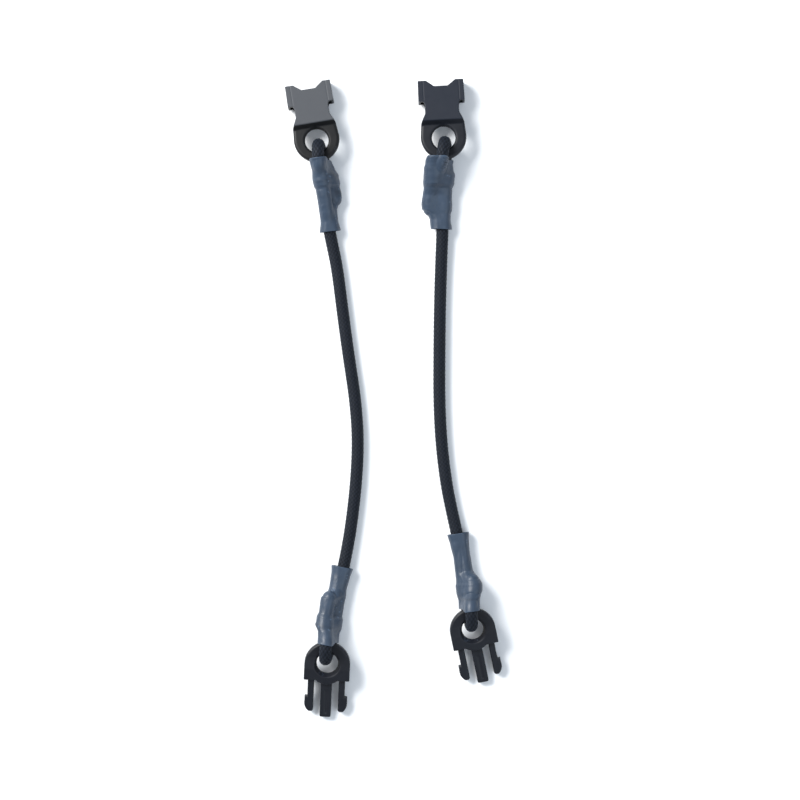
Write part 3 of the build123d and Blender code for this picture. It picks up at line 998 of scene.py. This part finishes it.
@dataclass
class Moulding:
    """A moulded piece: the frame's own solid, cut with fine details and softened as a mould leaves it."""

    node: str
    name: str
    axes: BuckleFrame
    grain: float = 0.15
    softening: int = 5
    cuts: list[tuple[tuple[float, float, float], tuple[float, float, float]]] = field(default_factory=list)

    def millimetres(self, frame: dict) -> bpy.types.Object:
        """A working copy of the solid in its own axes, in millimetres."""
        mesh = frame["nodes"][self.node].data.copy()
        mesh.materials.clear()
        count = len(mesh.vertices)
        flat = np.zeros(count * 3, np.float32)
        mesh.vertices.foreach_get("co", flat)
        own = self.axes.local(flat.reshape(-1, 3)) / MM
        mesh.vertices.foreach_set("co", own.astype(np.float32).ravel())
        mesh.update()
        piece = bpy.data.objects.new(self.name, mesh)
        bpy.context.scene.collection.objects.link(piece)
        weld = piece.modifiers.new("weld", "WELD")
        weld.merge_threshold = 0.001
        return piece

    def cutter(self, middle: tuple[float, float, float], size: tuple[float, float, float]) -> bpy.types.Object:
        """A box that is cut away, in the piece's own axes and millimetres."""
        corners = np.array([[x, y, z] for x in (-0.5, 0.5) for y in (-0.5, 0.5) for z in (-0.5, 0.5)])
        faces = [(0, 1, 3, 2), (4, 6, 7, 5), (0, 4, 5, 1), (2, 3, 7, 6), (0, 2, 6, 4), (1, 5, 7, 3)]
        mesh = mesh_from("cutter", corners * np.array(size) + np.array(middle), faces)
        box = bpy.data.objects.new("cutter", mesh)
        bpy.context.scene.collection.objects.link(box)
        return box

    def shape(self, frame: dict) -> bpy.types.Mesh:
        """Cuts, remeshes and softens the solid.


        Returns:
            The finished mesh, in the piece's own axes and millimetres.
        """
        piece = self.millimetres(frame)
        self.reshape(piece.data)
        boxes = [self.cutter(middle, size) for middle, size in self.cuts]
        for box in boxes:
            cut = piece.modifiers.new("cut", "BOOLEAN")
            cut.operation = "DIFFERENCE"
            cut.object = box
            cut.solver = "EXACT"
        remesh = piece.modifiers.new("remesh", "REMESH")
        remesh.mode = "VOXEL"
        remesh.voxel_size = self.grain
        remesh.use_smooth_shade = True
        soften = piece.modifiers.new("soften", "SMOOTH")
        soften.factor = 0.5
        soften.iterations = self.softening
        bpy.context.view_layer.update()
        mesh = bpy.data.meshes.new_from_object(piece.evaluated_get(bpy.context.evaluated_depsgraph_get()))
        for helper in [piece, *boxes]:
            bpy.data.objects.remove(helper)
        return mesh

    def reshape(self, mesh: bpy.types.Mesh) -> None:
        """Moves points of the working copy before it is remeshed; a plain moulding moves none."""

    def flat_faces(self, own: np.ndarray) -> np.ndarray:
        """How far each point belongs to a broad flat face that gets the painted reflection, 0 to 1; a plain
        moulding has none.
        """
        return np.zeros(len(own))

    def build(self, frame: dict, plastic: bpy.types.Material) -> bpy.types.Object:
        """Builds the piece in its place.

        Args:
            plastic: its material.

        Returns:
            The piece, not yet joined to a body.
        """
        mesh = self.shape(frame)
        flat = np.zeros(len(mesh.vertices) * 3, np.float32)
        mesh.vertices.foreach_get("co", flat)
        own = flat.reshape(-1, 3).astype(float)
        write_values(mesh, "flat_face", self.flat_faces(own))
        mesh.vertices.foreach_set("co", self.axes.world(own * MM).astype(np.float32).ravel())
        mesh.update()
        mesh.name = self.name
        piece = smooth_object(self.name, mesh)
        piece.data.materials.append(plastic)
        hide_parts(self.node)
        log.info("%s: %d faces", self.name, len(mesh.polygons))
        return piece


@dataclass
class SocketHousing(Moulding):
    """The socket half: a hollow housing with latch bars at its mouth and an eye behind it."""

    # How strongly the broad faces take the painted reflection.
    reflection_share: float = 1.0

    def flat_faces(self, own: np.ndarray) -> np.ndarray:
        """The housing's two broad faces, ahead of the step down to the eye."""
        # Both broad faces, scaled by the share, get the painted reflection.
        level = np.clip((np.abs(own[:, 2]) - 2.55) / 0.35, 0.0, 1.0)
        return level * self.reflection_share


@dataclass
class Prong(Moulding):
    """A side prong of the plug, whose root runs into the shoulder."""

    root_y: float = 5.85
    root_run: float = 1.1

    def reshape(self, mesh: bpy.types.Mesh) -> None:
        """Runs the prong's root back into the shoulder."""
        for vertex in mesh.vertices:
            if vertex.co.y < self.root_y + 0.05:
                vertex.co.y -= self.root_run


# ---------------------------------------------------------------- a whole tether


@dataclass
class Tether:
    """One tether: a cord with a buckle half at each end, held by shrunk sleeves."""

    side: Side
    upper_sections: list[Section]
    lower_sections: list[Section]
    upper_swellings: list[Swelling]
    lower_swellings: list[Swelling]
    socket_plastic: bpy.types.Material
    plug_plastic: bpy.types.Material
    # How strongly the socket's broad faces take the painted reflection.
    reflection_share: float

    def build_socket(self, frame: dict) -> None:
        """Builds the socket half."""
        side = self.side.value
        axes = BuckleFrame.read(frame, f"{side}_socket_swing", f"{side}_socket_mouth", 0.0192)
        grooves = [((x, 15.9, z), (0.34, 7.2, 0.62)) for x in (-5.95, 5.95) for z in (-3.05, 3.05)]
        housing = SocketHousing(f"{side}_socket_housing", f"{side}_socket_moulding", axes, cuts=grooves,
                                reflection_share=self.reflection_share)
        piece = housing.build(frame, self.socket_plastic)
        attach(piece, f"{side}_socket")

    def build_plug(self, frame: dict) -> None:
        """Builds the plug half and its two prongs."""
        side = self.side.value
        axes = BuckleFrame.read(frame, f"{side}_plug_swing", f"{side}_plug_prongs", 0.0057)
        channels = [((0.0, 13.2, z), (0.9, 8.2, 0.5)) for z in (-1.35, 1.35)]
        body = Moulding(f"{side}_plug_body", f"{side}_plug_moulding", axes, softening=7, cuts=channels)
        piece = body.build(frame, self.plug_plastic)
        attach(piece, f"{side}_plug")
        for tag, sign in (("a", 1), ("b", -1)):
            ribs = [((sign * 7.2, y, 0.0), (0.5, 0.28, 4.0)) for y in (13.1, 14.0, 14.9)]
            prong = Prong(f"{side}_plug_prong_{tag}", f"{side}_prong_{tag}_moulding", axes, grain=0.11,
                          softening=5, cuts=ribs)
            piece = prong.build(frame, self.plug_plastic)
            bend = [tuple(axes.world(np.array([[sign * 5.15 * MM, y * MM, 0.0]]))[0]) for y in (5.4, 7.2)]
            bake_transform(piece)

    def build(self, frame: dict, cover: bpy.types.Material, rubber: bpy.types.Material,
              film: bpy.types.Material, twine: bpy.types.Material) -> None:
        """Builds every piece of the tether.

        Args:
            cover: the braid's material.
            rubber: the strands' material.
            film: the sleeves' material.
            twine: the bindings' material.
        """
        cord = BraidedCord(self.side)
        cord.build(cover, rubber)
        line = cord.line[::2]
        ShrunkSleeve(self.side, Half.UPPER, self.upper_sections, self.upper_swellings, line).build(film)
        ShrunkSleeve(self.side, Half.LOWER, self.lower_sections, self.lower_swellings, line).build(film)
        self.build_socket(frame)
        self.build_plug(frame)
        for half in Half:
            binding = frame["nodes"][f"{self.side.value}_{half.value}_binding"]
            for slot in binding.material_slots:
                slot.material = twine


# ---------------------------------------------------------------- the studio


@dataclass
class Studio:
    """A pale floor, soft light from the upper left, and a camera that looks straight down."""

    look_at: tuple[float, float] = (0.002, -0.0002)
    view_width: float = 0.2667
    lens: float = 180.0
    sensor: float = 36.0

    def camera(self) -> None:
        """Places the camera."""
        data = bpy.data.cameras.new("camera")
        data.lens = self.lens
        data.sensor_width = self.sensor
        data.sensor_fit = "HORIZONTAL"
        data.clip_start = 0.01
        eye = bpy.data.objects.new("camera", data)
        distance = self.view_width * self.lens / self.sensor
        eye.location = (*self.look_at, distance)
        bpy.context.scene.collection.objects.link(eye)
        bpy.context.scene.camera = eye

    def floor(self) -> None:
        """Lays the floor."""
        half = 1.5
        corners = np.array([[-half, -half, 0], [half, -half, 0], [half, half, 0], [-half, half, 0]], float)
        plane = bpy.data.objects.new("floor", mesh_from("floor", corners, [(0, 1, 2, 3)]))
        bpy.context.scene.collection.objects.link(plane)
        shader = Shader("pale_floor", 0.85, 0.2)
        shader.surface.inputs["Base Color"].default_value = (0.86, 0.875, 0.90, 1.0)
        plane.data.materials.append(shader.material)

    def area(self, name: str, place: tuple[float, float, float], size: float, power: float,
             colour: tuple[float, float, float]) -> None:
        """Adds a soft light that faces the pair.

        Args:
            name: its name.
            place: where it is.
            size: its side.
            power: its power in watts.
            colour: its colour.
        """
        data = bpy.data.lights.new(name, "AREA")
        data.size = size
        data.energy = power
        data.color = colour
        lamp = bpy.data.objects.new(name, data)
        lamp.location = place
        lamp.rotation_euler = (-Vector(place)).to_track_quat("-Z", "Y").to_euler()
        bpy.context.scene.collection.objects.link(lamp)

    def build(self) -> None:
        """Builds the studio."""
        self.camera()
        self.floor()
        world = bpy.data.worlds.new("studio")
        world.use_nodes = True
        world.node_tree.nodes["Background"].inputs["Color"].default_value = (0.90, 0.95, 1.0, 1.0)
        world.node_tree.nodes["Background"].inputs["Strength"].default_value = 0.55
        bpy.context.scene.world = world
        self.area("key", (-0.60, 0.42, 0.62), 0.5, 18.0, (1.0, 0.99, 0.97))
        self.area("fill", (0.6, -0.3, 0.8), 0.8, 4.0, (0.80, 0.90, 1.0))
        bpy.context.scene.view_settings.view_transform = "Standard"


# ---------------------------------------------------------------- the pair's own shapes

WIDE_SECTIONS = [
    Section(0.0017, (0.0029, 0.0093), (0.0, 0.0030), 0.0031),
    Section(0.0030, (0.0034, 0.0088), (0.0001, 0.0031), 0.0030, 0.0001),
    Section(0.0048, (0.0037, 0.0077), (0.0, 0.0034), 0.0031),
    Section(0.0066, (0.0033, 0.0068), (-0.0002, 0.00355), 0.0035),
    Section(0.0096, (0.0035, 0.0059), (-0.0001, 0.00365), 0.0034),
    Section(0.0112, (0.0039, 0.0052), (-0.00005, 0.0035), 0.0028, 0.0001),
    Section(0.0136, (0.0042, 0.00405), (-0.0001, 0.00315), 0.0027, 0.0002),
    Section(0.0166, (0.0043, 0.0032), (-0.0002, 0.0029), 0.0028, 0.0002),
    Section(0.0181, (0.0042, 0.0029), (-0.0002, 0.0028), 0.0028, 0.0002),
    Section(0.0196, (0.0026, 0.0028), (0.00002, 0.0028), 0.0026, 0.0001),
    Section(0.0215, (0.0017, 0.0028), (0.0, 0.0028), 0.00262),
    Section(0.0246, (0.00125, 0.0027), (-0.00055, 0.0027), 0.00268),
]
STACKED_SECTIONS = [
    Section(0.0018, (0.0010, 0.0097), (-0.00047, 0.0031), 0.00272),
    Section(0.0046, (0.0016, 0.0081), (-0.0004, 0.00325), 0.00258, 0.0004),
    Section(0.0068, (0.00235, 0.0068), (-0.0003, 0.00325), 0.00297),
    Section(0.0094, (0.0026, 0.0063), (-0.0002, 0.0031), 0.00297),
    Section(0.0107, (0.00263, 0.0062), (-0.00017, 0.0030), 0.00252, 0.0005),
    Section(0.0130, (0.00266, 0.00605), (-0.0001, 0.0028), 0.00256, 0.0007),
    Section(0.0158, (0.0026, 0.00595), (-0.00005, 0.00275), 0.0026, 0.0004),
    Section(0.0174, (0.0011, 0.0042), (-0.0002, 0.00275), 0.00252, 0.0001),
    Section(0.0196, (0.0009, 0.0031), (0.0, 0.0027), 0.0025),
    Section(0.0240, (0.0010, 0.00275), (-0.0003, 0.0027), 0.00256),
    Section(0.0268, (0.0013, 0.0027), (-0.0006, 0.0027), 0.0027),
]
SHORT_SECTIONS = STACKED_SECTIONS[:4] + [
    Section(0.0106, (0.0026, 0.0061), (-0.00017, 0.0030), 0.00266),
    Section(0.0120, (0.0016, 0.0047), (-0.00013, 0.0029), 0.00256),
    Section(0.0140, (0.0008, 0.0031), (-0.0001, 0.0028), 0.00252),
    Section(0.0190, (0.0007, 0.0028), (0.0, 0.00272), 0.0025, 0.0002),
    Section(0.0240, (0.0009, 0.0027), (-0.0004, 0.00265), 0.00256),
    Section(0.0267, (0.0012, 0.0027), (-0.0007, 0.0027), 0.0027),
]
UNDER_SECTIONS = [
    Section(0.0014, (-0.0005, 0.0098), (0.0008, 0.0031), 0.0029),
    Section(0.0046, (-0.00045, 0.0081), (0.0019, 0.0033), 0.00262, 0.0003),
    Section(0.0068, (-0.00035, 0.0068), (0.0025, 0.0032), 0.00297),
    Section(0.0094, (-0.0002, 0.0063), (0.0027, 0.0030), 0.00297),
    Section(0.0108, (-0.00015, 0.00612), (0.00278, 0.00285), 0.00252, 0.0004),
    Section(0.0128, (-0.00008, 0.0059), (0.0030, 0.0028), 0.0025, 0.0006),
    Section(0.0143, (-0.00003, 0.00555), (0.0030, 0.0028), 0.00252, 0.0005),
    Section(0.0160, (0.0, 0.0052), (0.0018, 0.0028), 0.0025, 0.0002),
    Section(0.0180, (0.0, 0.0044), (0.0010, 0.0028), 0.0025),
    Section(0.0215, (0.0, 0.0033), (0.0009, 0.00275), 0.00252),
    Section(0.0248, (-0.0005, 0.0028), (0.00125, 0.0027), 0.00268),
]

# Bumps and dents: distance along, the way each faces in degrees (90 is up, 0 towards the tail), its rise,
# its length along the sleeve and its width in degrees.
LEFT_UPPER_SWELLINGS = [
    Swelling(0.0060, 20.0, 0.00035, 0.0016, 40.0), Swelling(0.0124, 10.0, 0.0004, 0.0018, 35.0),
    Swelling(0.0153, 50.0, -0.0006, 0.0014, 30.0), Swelling(0.0080, 95.0, 0.00015, 0.0006, 60.0),
    Swelling(0.0102, 80.0, -0.00022, 0.0007, 70.0),
]
LEFT_LOWER_SWELLINGS = [
    Swelling(0.0150, 25.0, 0.00025, 0.0020, 35.0), Swelling(0.0060, 15.0, 0.0003, 0.0016, 45.0),
    Swelling(0.0112, 120.0, -0.0005, 0.0030, 28.0), Swelling(0.0066, 90.0, 0.0002, 0.0006, 70.0),
    Swelling(0.0174, 75.0, -0.00025, 0.0012, 35.0),
]
RIGHT_UPPER_SWELLINGS = [
    Swelling(0.0024, 90.0, 0.00016, 0.0004, 100.0), Swelling(0.0036, 80.0, -0.00012, 0.0004, 100.0),
    Swelling(0.0160, 15.0, 0.0002, 0.0020, 35.0), Swelling(0.0125, 100.0, -0.00025, 0.0040, 24.0),
]
RIGHT_LOWER_SWELLINGS = [
    Swelling(0.0085, 15.0, 0.0003, 0.0016, 40.0), Swelling(0.0050, 85.0, 0.00028, 0.0006, 60.0),
    Swelling(0.0062, 85.0, -0.0004, 0.0006, 55.0), Swelling(0.0150, 110.0, -0.0003, 0.0050, 22.0),
]


def main() -> None:
    """Builds the pair in order and leaves the scene ready to finish."""
    logging.basicConfig(level=logging.INFO, format="%(message)s")
    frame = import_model()
    Studio().build()
    cover, rubber = BraidedPolyester().make(), LatexRubber().make()
    film, twine = ShrunkFilm().make(), WaxedTwine().make()
    # Both plastics are near black; the sockets' broad faces get a paler painted reflection, greyest on the
    # left socket.
    grey = MouldedPlastic("black_acetal_painted_reflection", (0.0025, 0.003, 0.0042), (0.050, 0.054, 0.062),
                          (0.036, 0.042, 0.053)).make()
    slate = MouldedPlastic("slate_acetal", (0.005, 0.0065, 0.011), (0.009, 0.012, 0.020),
                           (0.036, 0.048, 0.074)).make()
    # The last value scales each socket's painted reflection.
    left = Tether(Side.LEFT, UNDER_SECTIONS, STACKED_SECTIONS, LEFT_UPPER_SWELLINGS,
                  LEFT_LOWER_SWELLINGS, grey, slate, 1.0)
    right = Tether(Side.RIGHT, WIDE_SECTIONS, SHORT_SECTIONS, RIGHT_UPPER_SWELLINGS,
                   RIGHT_LOWER_SWELLINGS, slate, slate, 0.8)
    for tether in (left, right):
        tether.build(frame, cover, rubber, film, twine)


if __name__ == "__main__":
    main()
